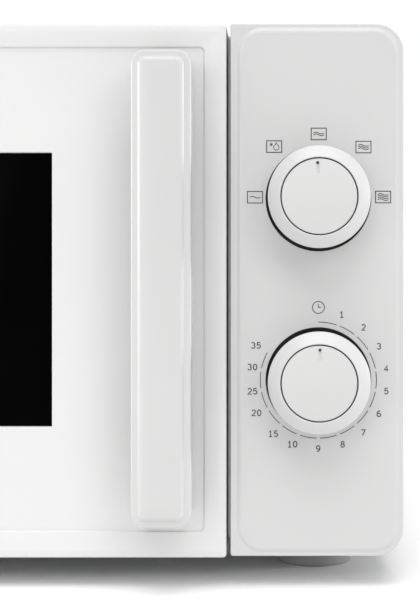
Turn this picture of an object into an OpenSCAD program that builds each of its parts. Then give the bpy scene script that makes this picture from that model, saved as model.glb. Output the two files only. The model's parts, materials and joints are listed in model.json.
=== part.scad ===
// Countertop microwave oven: side-hinged door, two rotary controls, glass turntable.
// X runs to the right seen from the front, the front faces -Y, and Z = 0 is the table.

/* [Overall] */
// Width over the door and the control panel
oven_w = 440; // [436:1:450]
// Height from the table to the top of the control panel
oven_h = 259; // [256:1:266]
// Depth from the handle to the rear spacers
oven_d = 372; // [368:1:390]
// Height of the feet
foot_h = 16.6; // [15:0.1:18]
// Thickness of the sheet metal
sheet = 0.6; // [0.5:0.1:0.8]

/* [Door] */
// Thickness of the door
door_t = 30; // [29:0.5:32]
// Gap between the door and the control panel
door_gap = 1.9; // [1.6:0.1:3]
// Radius of the two left corners of the door and the two right corners of the panel
corner_r = 12.8; // [8:0.1:16]
// How far the middle of the door is set back from its rim
field_set_back = 1.6; // [1:0.1:2]
// Width of the window
window_w = 211.5; // [190:0.5:215]
// Height of the window
window_h = 126; // [110:1:134]

/* [Handle] */
// Width of the handle
handle_w = 26.6; // [22:0.1:28]
// Length of the handle
handle_l = 210.9; // [190:0.1:212]
// Distance from the panel front to the handle front
handle_reach = 28; // [26:0.5:32]
// Thickness of the handle bar
handle_bar_t = 12; // [9:0.5:13]
// Length of each end post along the handle
handle_post_l = 29.5; // [24:0.5:34]

/* [Control panel] */
// Width of the control panel
panel_w = 79.4; // [78.5:0.1:82]
// Height of the power knob's axis
power_z = 178.8; // [172:0.1:182]
// Height of the timer knob's axis
timer_z = 95.6; // [88:0.1:98]
// Radius of the hole round each knob
knob_hole_r = 24.15; // [23.8:0.05:26]
// Largest radius of a knob
knob_r = 23; // [21:0.1:23.3]
// Radius of the cap set into a knob
knob_cap_r = 16.8; // [14:0.1:17]
// How far a knob stands out of the panel
knob_out = 21.5; // [19:0.5:24]

/* [Cavity] */
// Inside width of the cavity
cav_w = 306; // [300:1:308]
// Inside height of the cavity
cav_h = 204; // [190:1:206]
// Inside depth of the cavity
cav_d = 294; // [285:1:296]
// Radius of the glass tray
tray_r = 127.5; // [120:0.5:135]

/* [Hidden] */
$fn = 64;
clear = 0.05;
left = -oven_w / 2;
right = oven_w / 2;
face_y = -oven_d / 2 + handle_reach;
door_back = face_y + door_t;
plate_y = door_back + 1;
inside_y = plate_y + sheet;
rear_y = oven_d / 2 - 8;

door_x1 = right - panel_w - door_gap;
door_z0 = foot_h - 2.5;
door_z1 = oven_h - 0.3;
panel_x0 = right - panel_w;
panel_z0 = foot_h - 1.8;
knob_x = panel_x0 + 40.3;
shell_x = right - 2;
shell_z1 = oven_h - 0.8;
shell_r = 12;

hinge_x = left + 7.5;
hinge_y = door_back - 9;
pin_r = 2.5;
leaf_t = 2;
upper_leaf_z = door_z1 - 9.7;
lower_leaf_z = door_z0 + 7.9;

field_y = face_y + field_set_back;
wall_back_y = face_y + 4.4;
window_x0 = left + 67;
window_z0 = door_z0 + 59.9;
glass_t = 3;
handle_x = door_x1 - 27.7;
handle_z = (door_z0 + door_z1) / 2 + 1.35;
latch_x = door_x1 - 7.2;
upper_hook_z = 209;
lower_hook_z = 59;
hook_end_y = inside_y + 14;

cav_x0 = left + 23;
cav_x1 = cav_x0 + cav_w;
cav_z0 = foot_h + 19.4;
cav_z1 = cav_z0 + cav_h;
cav_y1 = inside_y + cav_d;
cav_r = 12;
turn_x = (cav_x0 + cav_x1) / 2;
turn_y = (inside_y + cav_y1) / 2;
track_r = 112;
track_z = cav_z0 - 1.5;
roller_r = 7;
roller_ring_r = 106;
tray_z = track_z + 2 * roller_r + 0.4;

bay_x0 = cav_x1 + sheet;
floor_z = foot_h + sheet;
guide_z0 = 188;
guide_h = 40;
tube_x = 165;
tube_y = 43;
tube_z0 = 130;
can_x = 184;
can_z = floor_z + 18;
can_r = 16;
fan_x = 165;
fan_z = 149;
fan_y = 156;
fan_r = 46;
spindle_r = 2;
cord_x = 191;
cord_z = 88;
cord_r = 3.6;
cord_barrel_r = 7.9;
screw_r = 2;
bracket_y = face_y + 12;
bracket_z0 = 38;
bracket_z1 = 236;
bush_r = 5;
shaft_r = 3;
hatch_w = 5;
hatch_pitch = 12;

// ---- helpers ----

// A block between two opposite corners.
module block(lo, hi) {
    translate(lo) cube(hi - lo);
}

// A rectangle in the front view, with its own corner radius on each side.
module outline(x0, x1, z0, z1, r_left, r_right) {
    translate([x0 + r_left, z0]) square([x1 - x0 - r_left - r_right, z1 - z0]);
    translate([x0, z0 + r_left]) square([2 * r_left, z1 - z0 - 2 * r_left]);
    translate([x1 - 2 * r_right, z0 + r_right]) square([2 * r_right, z1 - z0 - 2 * r_right]);
    for (z = [z0 + r_left, z1 - r_left]) translate([x0 + r_left, z]) circle(r_left);
    for (z = [z0 + r_right, z1 - r_right]) translate([x1 - r_right, z]) circle(r_right);
}

// Extrudes a front-view shape from y0 back to y1.
module slab(y0, y1) {
    translate([0, y1, 0]) rotate([90, 0, 0]) linear_extrude(y1 - y0) children();
}

// A slab with four equal corner radii.
module rounded_slab(x0, x1, z0, z1, y0, y1, r) {
    slab(y0, y1) outline(x0, x1, z0, z1, r, r);
}

// A round bar along +Y that starts at p.
module bar_y(p, r, l) {
    translate(p) rotate([-90, 0, 0]) cylinder(r = r, h = l);
}

// A round bar along +X that starts at p.
module bar_x(p, r, l) {
    translate(p) rotate([0, 90, 0]) cylinder(r = r, h = l);
}

// Points of a smooth curve through a list of points, n to each stretch.
function bend(p, i, t) =
    let (a = p[max(i - 1, 0)], b = p[i], c = p[i + 1], d = p[min(i + 2, len(p) - 1)])
    0.5 * (2 * b + (c - a) * t + (2 * a - 5 * b + 4 * c - d) * t * t
        + (3 * b - a - 3 * c + d) * t * t * t);
function curve(p, n) = concat(
    [for (i = [0 : len(p) - 2], j = [0 : n - 1]) bend(p, i, j / n)],
    [p[len(p) - 1]]);
function unit(v) = v / norm(v);
function heading(p, i) = unit(p[min(i + 1, len(p) - 1)] - p[max(i - 1, 0)]);

// A round wire swept along points; across is never parallel to the path.
module wire(points, r, sides, across) {
    rings = [for (i = [0 : len(points) - 1])
        let (t = heading(points, i), u = unit(cross(t, across)), v = cross(t, u))
        for (k = [0 : sides - 1])
            points[i] + r * (cos(360 * k / sides) * u + sin(360 * k / sides) * v)];
    count = len(points);
    first_cap = [for (k = [0 : sides - 1]) k];
    last_cap = [for (k = [sides - 1 : -1 : 0]) (count - 1) * sides + k];
    skin = [for (i = [0 : count - 2], k = [0 : sides - 1])
        let (a = i * sides + k, b = i * sides + (k + 1) % sides)
        each [[a, b + sides, b], [a, a + sides, b + sides]]];
    polyhedron(points = rings, faces = concat([first_cap, last_cap], skin), convexity = 6);
}

// ---- chassis ----

module base_plate() color("gainsboro") {
    side_x = shell_x - 1;
    flange_h = 12;
    difference() {
        block([-side_x, inside_y, foot_h], [side_x, rear_y - 2 * sheet, floor_z]);
        for (i = [0 : 7])
            translate([right - 96, -60 + hatch_pitch * i, foot_h - 1]) cube([36, hatch_w, 4]);
        for (i = [0 : 5])
            translate([left + 60 + hatch_pitch * i, 110, foot_h - 1]) cube([hatch_w, 40, 4]);
    }
    for (x = [-side_x, side_x - sheet])
        block([x, inside_y, floor_z], [x + sheet, rear_y - 2 * sheet, floor_z + flange_h]);
}

// The cabinet's outline above the feet, drawn in by a distance.
module shell_outline(inset) {
    intersection() {
        outline(-shell_x + inset, shell_x - inset, foot_h - 20, shell_z1 - inset,
            shell_r - inset, shell_r - inset);
        translate([-oven_w, foot_h]) square([2 * oven_w, oven_h]);
    }
}

vent_w = 4;
vent_l = 24;
vent_pitch = 9;

module outer_cover() color("white") {
    flange = 14;
    difference() {
        slab(inside_y, rear_y) shell_outline(0);
        slab(inside_y - 1, rear_y - sheet) intersection() {
            shell_outline(sheet);
            translate([-oven_w, foot_h - 1]) square([2 * oven_w, oven_h]);
        }
        block([-oven_w, inside_y - 1, foot_h - 1], [oven_w, rear_y - sheet, foot_h + 0.01]);
        slab(rear_y - 2, rear_y + 1)
            outline(-shell_x + flange, shell_x - flange, foot_h - 20, shell_z1 - flange, 4, 4);
        for (i = [0 : 11], z = [46, 78])
            translate([shell_x - 2, 50 + vent_pitch * i, z]) cube([3, vent_w, vent_l]);
        for (i = [0 : 8])
            translate([-shell_x - 1, 80 + vent_pitch * i, 196]) cube([3, vent_w, vent_l]);
        cover_screw_places() bar_y([0, rear_y - 2, 0], screw_r + 0.1, 4);
    }
}

module cover_screw_places() {
    for (x = [-190, 0, 190]) translate([x, 0, shell_z1 - 7]) children();
    for (x = [-1, 1], z = [60, 170]) translate([x * (shell_x - 7), 0, z]) children();
}

module cover_screws() color("silver") {
    length = 9;
    head_h = 2.4;
    cover_screw_places() {
        bar_y([0, rear_y - length, 0], screw_r, length);
        difference() {
            bar_y([0, rear_y, 0], 2.1 * screw_r, head_h);
            for (a = [0, 90]) translate([0, rear_y + head_h - 0.4, 0]) rotate([0, a, 0])
                cube([5, 1.6, 1], center = true);
        }
    }
}

module rear_panel() color("gainsboro") {
    y0 = rear_y - 2 * sheet;
    grille_r = 42;
    edge = 1.2;
    difference() {
        slab(y0, rear_y - sheet) intersection() {
            outline(-shell_x + edge, shell_x - edge, foot_h - 20, shell_z1 - edge, 10, 10);
            translate([-oven_w, floor_z]) square([2 * oven_w, oven_h]);
        }
        for (i = [-4 : 4]) {
            z = vent_pitch * i;
            half = sqrt(grille_r * grille_r - z * z);
            block([fan_x - half, y0 - 1, fan_z + z - vent_w / 2],
                [fan_x + half, rear_y, fan_z + z + vent_w / 2]);
        }
        for (i = [0 : 9])
            translate([left + 50 + vent_pitch * i, y0 - 1, 205]) cube([vent_w, 4, vent_l + 3]);
        cover_screw_places() bar_y([0, y0 - 1, 0], screw_r + 0.1, 4);
        bar_y([cord_x, y0 - 1, cord_z], cord_barrel_r + 0.1, 4);
    }
}

// They keep the rear of the oven off the wall and set its overall depth.
module rear_spacers() color("dimgray")
    for (x = [-150, 90]) translate([x, rear_y - sheet, 60]) rotate([-90, 0, 0])
        cylinder(r1 = 9, r2 = 7, h = oven_d / 2 - rear_y + sheet);

module cord_inlet() color("dimgray") difference() {
    barrel_l = 14;
    union() {
        bar_y([cord_x, rear_y - barrel_l, cord_z], cord_barrel_r, barrel_l - sheet);
        bar_y([cord_x, rear_y - sheet, cord_z], 11, 3);
    }
    bar_y([cord_x, rear_y - barrel_l - 1, cord_z], cord_r, barrel_l + 6);
}

module front_plate() color("gainsboro") {
    difference() {
        slab(plate_y, inside_y) shell_outline(0);
        rounded_slab(cav_x0, cav_x1, cav_z0, cav_z1, plate_y - 1, inside_y + 1, cav_r);
        rounded_slab(panel_x0 + 5, right - 10, bracket_z0 - 4, bracket_z1 + 4, plate_y - 1, inside_y + 1, 3);
        for (z = [upper_hook_z, lower_hook_z])
            block([latch_x - 3.5, plate_y - 1, z - 8], [latch_x + 4.6, inside_y + 1, z + 11]);
    }
}

module feet() color("dimgray")
    for (x = [-180.3, 180.3], y = [-93, 140])
        translate([x, y, 0]) cylinder(r1 = 18, r2 = 20, h = foot_h);

// ---- cavity and microwave feed ----

// The air holes in a cavity wall: rows along Y and up, each 7 mm from the next.
module air_holes(x, y, z, columns) {
    for (i = [0 : columns - 1], j = [0 : 3]) bar_x([x, y + 7 * i, z + 7 * j], 1.8, 4);
}

module oven_cavity() color("lightgray") difference() {
    union() {
        rounded_slab(cav_x0 - sheet, cav_x1 + sheet, cav_z0 - sheet, cav_z1 + sheet,
            inside_y, cav_y1 + sheet, cav_r + sheet);
        translate([turn_x, turn_y, track_z - sheet]) cylinder(r = track_r + sheet, h = 6);
    }
    rounded_slab(cav_x0, cav_x1, cav_z0, cav_z1, inside_y - 1, cav_y1, cav_r);
    translate([turn_x, turn_y, track_z]) cylinder(r = track_r, h = 10);
    translate([turn_x, turn_y, track_z - 5]) cylinder(r = 6, h = 10);
    block([cav_x1 - 1, guide_y0 + 4, guide_z0 + 4], [cav_x1 + 3, guide_y1 - 4, guide_z0 + guide_h - 4]);
    air_holes(cav_x1 - 1, -84, 206, 6);
    air_holes(cav_x0 - 2, 96, 200, 8);
}

guide_y0 = tube_y - 43;
guide_y1 = tube_y + 43;

module waveguide() color("silver") difference() {
    guide_x1 = 200;
    block([bay_x0, guide_y0, guide_z0], [guide_x1, guide_y1, guide_z0 + guide_h]);
    block([bay_x0 - 1, guide_y0 + sheet, guide_z0 + sheet],
        [guide_x1 - sheet, guide_y1 - sheet, guide_z0 + guide_h - sheet]);
    translate([tube_x, tube_y, guide_z0 - 1]) cylinder(r = 12, h = 4);
}

module waveguide_cover() color("tan")
    block([cav_x1 - 0.6, guide_y0 - 4, guide_z0 - 4], [cav_x1, guide_y1 + 4, guide_z0 + guide_h - 1]);

yoke_t = 2;

module magnetron_yoke() color("silver") difference() {
    half = [45, 38];
    block([tube_x - half.x, tube_y - half.y, tube_z0], [tube_x + half.x, tube_y + half.y, guide_z0]);
    block([tube_x - half.x + yoke_t, tube_y - half.y - 1, tube_z0 + yoke_t],
        [tube_x + half.x - yoke_t, tube_y + half.y + 1, guide_z0 - yoke_t]);
    translate([tube_x, tube_y, tube_z0 - 5]) cylinder(r = 14, h = guide_z0 - tube_z0 + 10);
}

module magnetron_core() color("lightsteelblue") {
    fin_t = 0.8;
    antenna_r = 9;
    antenna_z = guide_z0 + 18;
    translate([tube_x, tube_y, tube_z0 + yoke_t]) cylinder(r = 20, h = guide_z0 - tube_z0 - 2 * yoke_t);
    for (i = [0 : 5])
        translate([tube_x - 41, tube_y - 34, tube_z0 + 8 + 8 * i]) cube([82, 68, fin_t]);
    translate([tube_x, tube_y, guide_z0 - 6]) cylinder(r = antenna_r, h = antenna_z - guide_z0 + 6);
    translate([tube_x, tube_y, antenna_z]) sphere(r = antenna_r);
}

module magnetron_filter_box() color("silver") {
    half = [32, 28];
    z0 = tube_z0 - 26;
    wall = 0.8;
    difference() {
        block([tube_x - half.x, tube_y - half.y, z0], [tube_x + half.x, tube_y + half.y, tube_z0]);
        block([tube_x - half.x + wall, tube_y - half.y + wall, z0 + wall],
            [tube_x + half.x - wall, tube_y + half.y - wall, tube_z0 + 1]);
    }
    bar_x([tube_x + half.x, tube_y, z0 + 13], 10, 6);
}

// ---- high-voltage supply ----

stack_y0 = -50;
stack_y1 = 4;

module transformer_core() color("slategray") difference() {
    base_h = 3;
    union() {
        block([tube_x - 41, stack_y0, floor_z], [tube_x + 41, stack_y1, 92]);
        block([tube_x - 47, stack_y0 - 6, floor_z], [tube_x + 47, stack_y1 + 6, floor_z + base_h]);
    }
    for (x = [tube_x - 27, tube_x + 13]) block([x, stack_y0 - 1, 32], [x + 14, stack_y1 + 1, 80]);
}

module transformer_windings() color("peru")
    for (z = [[33, 53], [58, 79]]) translate([0, 0, z[0]]) linear_extrude(z[1] - z[0]) difference() {
        outline(tube_x - 26.7, tube_x + 26.7, stack_y0 - 16, stack_y1 + 16, 8, 8);
        outline(tube_x - 13.3, tube_x + 13.3, stack_y0 - 0.3, stack_y1 + 0.3, 1, 1);
    }

// The flat oval can's outline, grown by a distance.
module can_outline(grow) {
    for (x = [-9, 9]) translate([x, 0]) circle(r = can_r + grow);
    translate([-9, -can_r - grow]) square([18, 2 * (can_r + grow)]);
}

module capacitor() color("silver") {
    slab(60, 146) translate([can_x, can_z]) can_outline(0);
    for (x = [can_x - 8, can_x + 8]) block([x - 3, 50, can_z - 0.4], [x + 3, 60, can_z + 0.4]);
}

// A strap round the can, with a leg down to a foot on the base plate.
module capacitor_clamp() color("gainsboro") {
    y0 = 96;
    y1 = 108;
    leg_x = can_x - 9 - can_r - 1.4;
    slab(y0, y1) translate([can_x, can_z]) difference() {
        can_outline(1);
        can_outline(clear);
    }
    block([leg_x - 6, y0, floor_z], [leg_x + 1, y1, floor_z + 1]);
    block([leg_x, y0, floor_z], [leg_x + 1, y1, can_z]);
}

module hv_diode() color("black") {
    bar_y([138, 70, floor_z + 6], 4, 24);
    block([136, 62, floor_z], [140, 70, floor_z + 7]);
}

// ---- fan ----

housing_y = 150;

// A square plate with a round shroud that reaches the rear panel, and a hub that carries the motor.
module fan_housing() color("darkgray") {
    plate_t = 2;
    half = 49;
    hub_r = 25;
    difference() {
        union() {
            block([fan_x - half, housing_y, fan_z - half], [fan_x + half, housing_y + plate_t, fan_z + half]);
            bar_y([fan_x, housing_y, fan_z], fan_r + 2, rear_y - 2 * sheet - housing_y);
        }
        bar_y([fan_x, housing_y - 1, fan_z], fan_r, 40);
    }
    for (a = [45 : 90 : 315]) translate([fan_x, housing_y, fan_z]) rotate([0, a, 0])
        block([hub_r - 3, 0, -2.5], [fan_r + 1, plate_t, 2.5]);
    difference() {
        bar_y([fan_x, housing_y, fan_z], hub_r, plate_t);
        bar_y([fan_x, housing_y - 1, fan_z], 6, plate_t + 2);
    }
}

core_y0 = 124;
core_y1 = 142;
rotor_r = 12;

module fan_motor() color("dimgray") {
    cap_t = 5;
    difference() {
        block([fan_x - 27, core_y0, fan_z - 22], [fan_x + 27, core_y1, fan_z + 22]);
        bar_y([fan_x, core_y0 - 1, fan_z], rotor_r + 0.4, 20);
    }
    for (y = [core_y0 - cap_t, core_y1]) difference() {
        block([fan_x - 16, y, fan_z - 20], [fan_x + 16, y + cap_t, fan_z + 20]);
        bar_y([fan_x, y - 1, fan_z], spindle_r + clear, cap_t + 2);
        bar_y([fan_x, y < core_y0 ? core_y0 - 2 : core_y1 - 1, fan_z], rotor_r + 0.4, 3);
    }
    for (x = [-21, 21]) bar_y([fan_x + x, core_y1, fan_z], 3, housing_y - core_y1);
}

module fan_rotor() color("silver") {
    bar_y([fan_x, core_y0 + 1.5, fan_z], rotor_r, 15);
    bar_y([fan_x, core_y0 - 8, fan_z], spindle_r, 58);
}

module fan_blade() color("white") difference() {
    hub_h = 14;
    blade = [36, 22, 1.4];
    pitch = 32;
    union() {
        bar_y([fan_x, fan_y, fan_z], 10, hub_h);
        for (a = [0 : 72 : 288]) translate([fan_x, fan_y + hub_h / 2, fan_z]) rotate([-90, 0, 0])
            rotate([0, 0, a]) translate([7, 0, 0]) rotate([pitch, 0, 0])
                translate([0, -blade.y / 2, -blade.z / 2]) cube(blade);
    }
    bar_y([fan_x, fan_y - 1, fan_z], spindle_r + clear, hub_h + 2);
}

// ---- lamp, sensors, wiring ----

lamp_y = -44;
lamp_z = 222;

module lamp_socket() color("ivory") {
    block([bay_x0, lamp_y, lamp_z - 16], [bay_x0 + 26, lamp_y + 18, lamp_z + 16]);
    block([bay_x0, lamp_y + 18, lamp_z - 12], [bay_x0 + 3, lamp_y + 30, lamp_z + 12]);
}

module lamp_bulb() color("lightyellow") translate([bay_x0 + 14, lamp_y, lamp_z]) rotate([90, 0, 0])
    rotate_extrude() {
        bulb_r = 10;
        neck_h = 8;
        tip_z = 28;
        square([7, neck_h]);
        translate([0, neck_h]) square([bulb_r, tip_z - neck_h]);
        intersection() {
            translate([0, tip_z]) circle(r = bulb_r);
            translate([0, neck_h]) square([20, 40]);
        }
    }

module thermal_cutout() color("black") {
    y = -20;
    z = 120;
    can_h = 6;
    bar_x([bay_x0, y, z], 9, can_h);
    for (s = [-4, 4]) block([bay_x0 + can_h, y + s - 2, z - 0.4], [bay_x0 + can_h + 8, y + s + 2, z + 0.4]);
}

// Board with a choke and two capacitors, on four posts behind the rear panel.
module noise_filter_board() color("darkgreen") {
    y0 = 168;
    board = [60, 1.6, 60];
    translate([118, y0, 26]) cube(board);
    bar_y([136, y0 - 14, 66], 12, 14);
    block([152, y0 - 16, 56], [170, y0, 78]);
    block([126, y0 - 10, 32], [170, y0, 44]);
    for (x = [122, 174], z = [30, 82]) bar_y([x, y0 + board.y, z], 2, rear_y - 2 * sheet - y0 - board.y);
}

// Loom from the filter board to the switches, and the high-voltage lead to the magnetron.
loom_points = [[130, 156, 48], [122, 148, 40], [115, 130, 27], [113.6, 60, 24],
    [113.6, -20, 24], [114, -66, 30], [118, -80, 60], [134, -84, 84], [150, -92, 88]];
lead_points = [[180, 20.4, 70], [180.4, 26, 70.4], [196, 30, 76], [208, 32, 92], [209.6, 40, 108],
    [207.4, 43, 117], [203.4, 43, 117]];

module wiring_loom() color("firebrick") {
    wire(curve(loom_points, 5), 2.6, 8, [1, 0, 0]);
    wire(curve(lead_points, 5), 2.2, 8, [1, 0, 0]);
}

// ---- turntable ----

spigot_r = 3.5;
coupler_wall = 3;

module turntable_motor() color("silver") {
    top_z = track_z - sheet;
    z0 = floor_z + 1.5;
    difference() {
        translate([turn_x, turn_y, z0]) cylinder(r = 25, h = top_z - z0);
        translate([turn_x, turn_y, floor_z + 4]) cylinder(r = spigot_r + clear, h = 20);
    }
    for (s = [-1, 1])
        block([turn_x + 28 * s - 6, turn_y - 5, top_z - 1.2], [turn_x + 28 * s + 6, turn_y + 5, top_z]);
}

module turntable_shaft() color("white")
    translate([turn_x, turn_y, floor_z + 5])
        cylinder(r = spigot_r, h = tray_z - coupler_wall - floor_z - 5);

module turntable_coupler() color("ivory") translate([turn_x, turn_y, 0]) difference() {
    arm_l = 20;
    arm_h = 6;
    union() {
        translate([0, 0, track_z + 2]) cylinder(r = 12, h = tray_z - track_z - 2);
        for (a = [90 : 120 : 330]) rotate([0, 0, a]) {
            block([0, -4, tray_z - arm_h], [arm_l, 4, tray_z]);
            translate([arm_l, 0, tray_z - arm_h]) cylinder(r = 5, h = arm_h);
        }
    }
    cylinder(r = spigot_r + clear, h = tray_z - coupler_wall + clear);
}

module glass_tray() color("lightcyan") translate([turn_x, turn_y, tray_z]) {
    glass_h = 4.4;
    rotate_extrude() polygon([
        [0, 0], [tray_r - 22, 0], [tray_r - 9, 3], [tray_r - 2, 9], [tray_r, 12],
        [tray_r - 1, 13.4], [tray_r - 3.4, 12.6], [tray_r - 11, 6.6], [tray_r - 22, glass_h], [0, glass_h]
    ]);
    for (a = [30 : 120 : 270]) rotate([0, 0, a]) block([12.5, -4, -3], [18, 4, 0]);
}

axle_z = track_z + roller_r + 0.1;
axle_r = 1.5;
roller_w = 6;

module roller_ring() color("ivory") translate([turn_x, turn_y, 0]) {
    ring_r = roller_ring_r - 8;
    ring_w = 5;
    axle_l = 11.6;
    difference() {
        translate([0, 0, axle_z - 3]) cylinder(r = ring_r + ring_w / 2, h = 6);
        translate([0, 0, axle_z - 4]) cylinder(r = ring_r - ring_w / 2, h = 8);
    }
    for (a = [90 : 120 : 330]) rotate([0, 0, a]) {
        bar_x([ring_r, 0, axle_z], axle_r, axle_l);
        bar_x([ring_r + axle_l, 0, axle_z], axle_r + 0.7, 1);
    }
}

module roller(a) color("white") translate([turn_x, turn_y, axle_z]) rotate([0, 0, a]) difference() {
    bar_x([roller_ring_r - roller_w / 2, 0, 0], roller_r, roller_w);
    bar_x([roller_ring_r - roller_w / 2 - 1, 0, 0], axle_r + clear, roller_w + 2);
}
module roller_1() roller(90);
module roller_2() roller(210);
module roller_3() roller(330);

// ---- door interlock ----

module interlock_bracket() color("ivory") {
    block([latch_x + 5.5, inside_y, 34], [latch_x + 7.5, -90, 228]);
    for (z = [upper_hook_z, lower_hook_z])
        block([latch_x - 3.5, inside_y, z - 14], [latch_x + 5.5, inside_y + 7, z - 5.5]);
}

// Each switch under a hook: the hook's height, and the switch's two sides from the bar's middle.
switches = [[upper_hook_z, -4.4, 5.5], [lower_hook_z, -4.4, 0.4], [lower_hook_z, 0.6, 5.5]];
plunger_y = hook_end_y - 2;
plunger_r = 0.8;

module door_switches() color("black")
    for (s = switches) difference() {
        block([latch_x + s[1], inside_y + 8, s[0] - 22.5], [latch_x + s[2], hook_end_y + 20, s[0] - 7.5]);
        translate([latch_x + (s[1] + s[2]) / 2, plunger_y, s[0] - 12.5])
            cylinder(r = plunger_r + clear, h = 6);
    }

module switch_plungers() color("red")
    for (s = switches) translate([latch_x + (s[1] + s[2]) / 2, plunger_y, s[0] - 11.1])
        cylinder(r = plunger_r, h = 5.8);

// ---- hinges ----

leaf_half = 4;
tab_t = 0.8;

module hinge_leaf(z) {
    block([hinge_x - leaf_half, hinge_y, z], [hinge_x + leaf_half, plate_y, z + leaf_t]);
    translate([hinge_x, hinge_y, z]) cylinder(r = leaf_half, h = leaf_t);
}

// The tab that is welded to the front plate.
module hinge_tab(z, h) {
    translate([hinge_x - leaf_half, plate_y - tab_t, z]) cube([18, tab_t, h]);
}

module hinge_bracket_upper() color("silver") {
    hinge_leaf(upper_leaf_z);
    translate([hinge_x, hinge_y, upper_leaf_z - 8]) cylinder(r = pin_r, h = 9);
    hinge_tab(upper_leaf_z - 4, leaf_t + 4);
}

module hinge_bracket_lower() color("silver") {
    hinge_leaf(lower_leaf_z);
    translate([hinge_x, hinge_y, lower_leaf_z + 1]) cylinder(r = pin_r, h = 9);
    hinge_tab(lower_leaf_z, 4);
}

// ---- controls ----

module control_panel() color("white") difference() {
    bevel = 3.6;
    step = 0.8;
    wall = 2.5;
    union() {
        slab(face_y + step, plate_y) outline(panel_x0, right, panel_z0, oven_h, 1, corner_r);
        slab(face_y, face_y + step + 1)
            outline(panel_x0 + bevel, right - bevel, panel_z0 + bevel, oven_h - bevel,
                corner_r - bevel, corner_r - bevel);
        // A tongue that closes most of the gap beside the door.
        block([panel_x0 - 1.3, face_y + 8, panel_z0 + 8], [panel_x0 + 1, face_y + 10, oven_h - 10]);
    }
    slab(face_y + 4, plate_y + 1)
        outline(panel_x0 + wall, right - wall, panel_z0 + wall, oven_h - wall, 1, corner_r - wall);
    for (z = [power_z, timer_z]) bar_y([knob_x, face_y - 1, z], knob_hole_r, 8);
}

bracket_t = 1.2;

// A folded tray that carries both controls; its ears are screwed to the front plate.
module control_bracket() color("silver") {
    x0 = panel_x0 + 8;
    x1 = right - 12;
    ear_w = 4.6;
    difference() {
        block([x0, bracket_y, bracket_z0], [x1, bracket_y + bracket_t, bracket_z1]);
        for (z = [power_z, timer_z]) bar_y([knob_x, bracket_y - 1, z], bush_r + 0.2, 4);
    }
    for (x = [x0, x1 - bracket_t])
        block([x, bracket_y, bracket_z0], [x + bracket_t, inside_y, bracket_z1]);
    for (z = [bracket_z0, bracket_z1 - bracket_t])
        block([x0, bracket_y, z], [x1, inside_y + 1, z + bracket_t]);
    for (x = [x0 - ear_w, x1], z = [60, 190])
        block([x, plate_y - bracket_t, z], [x + ear_w, plate_y, z + 24]);
}

// A bush in the bracket's hole, and the hollow housing behind the bracket.
module control_housing(z, w, h, depth) {
    y0 = bracket_y + bracket_t;
    wall = 1.2;
    difference() {
        union() {
            difference() {
                block([knob_x - w / 2, y0, z - h / 2], [knob_x + w / 2, y0 + depth, z + h / 2]);
                block([knob_x - w / 2 + wall, y0 - 1, z - h / 2 + wall],
                    [knob_x + w / 2 - wall, y0 + depth - wall, z + h / 2 - wall]);
            }
            bar_y([knob_x, bracket_y - 4, z], bush_r, depth + 4);
        }
        bar_y([knob_x, bracket_y - 5, z], shaft_r + clear, 16);
    }
}

// The bell stands on a post at the back of the timer.
module timer_housing() color("silver") {
    depth = 40;
    post_h = 4;
    bell_r = 16;
    control_housing(timer_z, 51, 52, depth);
    translate([knob_x, bracket_y + bracket_t + depth, timer_z]) rotate([-90, 0, 0]) {
        cylinder(r = 3, h = post_h);
        translate([0, 0, post_h]) rotate_extrude()
            polygon([[0, 0], [4, 0], [13, 3], [bell_r, 9], [bell_r - 1, 9], [12, 4], [4, 1.2], [0, 1.2]]);
    }
}
module power_switch_housing() color("dimgray") control_housing(power_z, 44, 36, 26);

module control_shaft(z) {
    bar_y([knob_x, face_y - knob_out + 5, z], shaft_r, knob_out + 16);
}
module power_shaft() color("silver") control_shaft(power_z);
module timer_shaft() color("silver") control_shaft(timer_z);

// Turned about its own axis: height 0 is the panel's face, and the cap is at the top.
module knob(z) translate([knob_x, face_y, z]) rotate([90, 0, 0]) difference() {
    rim_h = 16.5;
    root_h = -5;
    top_h = knob_out - rim_h - 0.2;
    union() {
        translate([0, 0, root_h]) cylinder(r1 = knob_r - 1.8, r2 = knob_r, h = rim_h - root_h);
        translate([0, 0, rim_h]) rotate_extrude() polygon([
            [0, 0], [knob_r, 0], [knob_r - 0.5, 0.8], [knob_r - 2.2, 2.2],
            [knob_cap_r + 1.6, top_h - 0.8], [knob_cap_r + 0.6, top_h], [0, top_h]
        ]);
    }
    translate([0, 0, knob_out - 2.6]) cylinder(r = knob_cap_r + 0.1, h = 5);
    translate([0, 0, root_h - 1]) cylinder(r = shaft_r + clear, h = knob_out + 1.1);
    translate([0, 0, root_h - 1]) difference() {
        cylinder(r = knob_r - 3, h = 14);
        translate([0, 0, -1]) cylinder(r = 7, h = 16);
    }
}
module power_knob() color("white") knob(power_z);
module timer_knob() color("white") knob(timer_z);

module knob_cap(z) {
    bar_y([knob_x, face_y - knob_out, z], knob_cap_r, 2.5);
}
module power_knob_cap() color("whitesmoke") knob_cap(power_z);
module timer_knob_cap() color("whitesmoke") knob_cap(timer_z);

// ---- door ----

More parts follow.
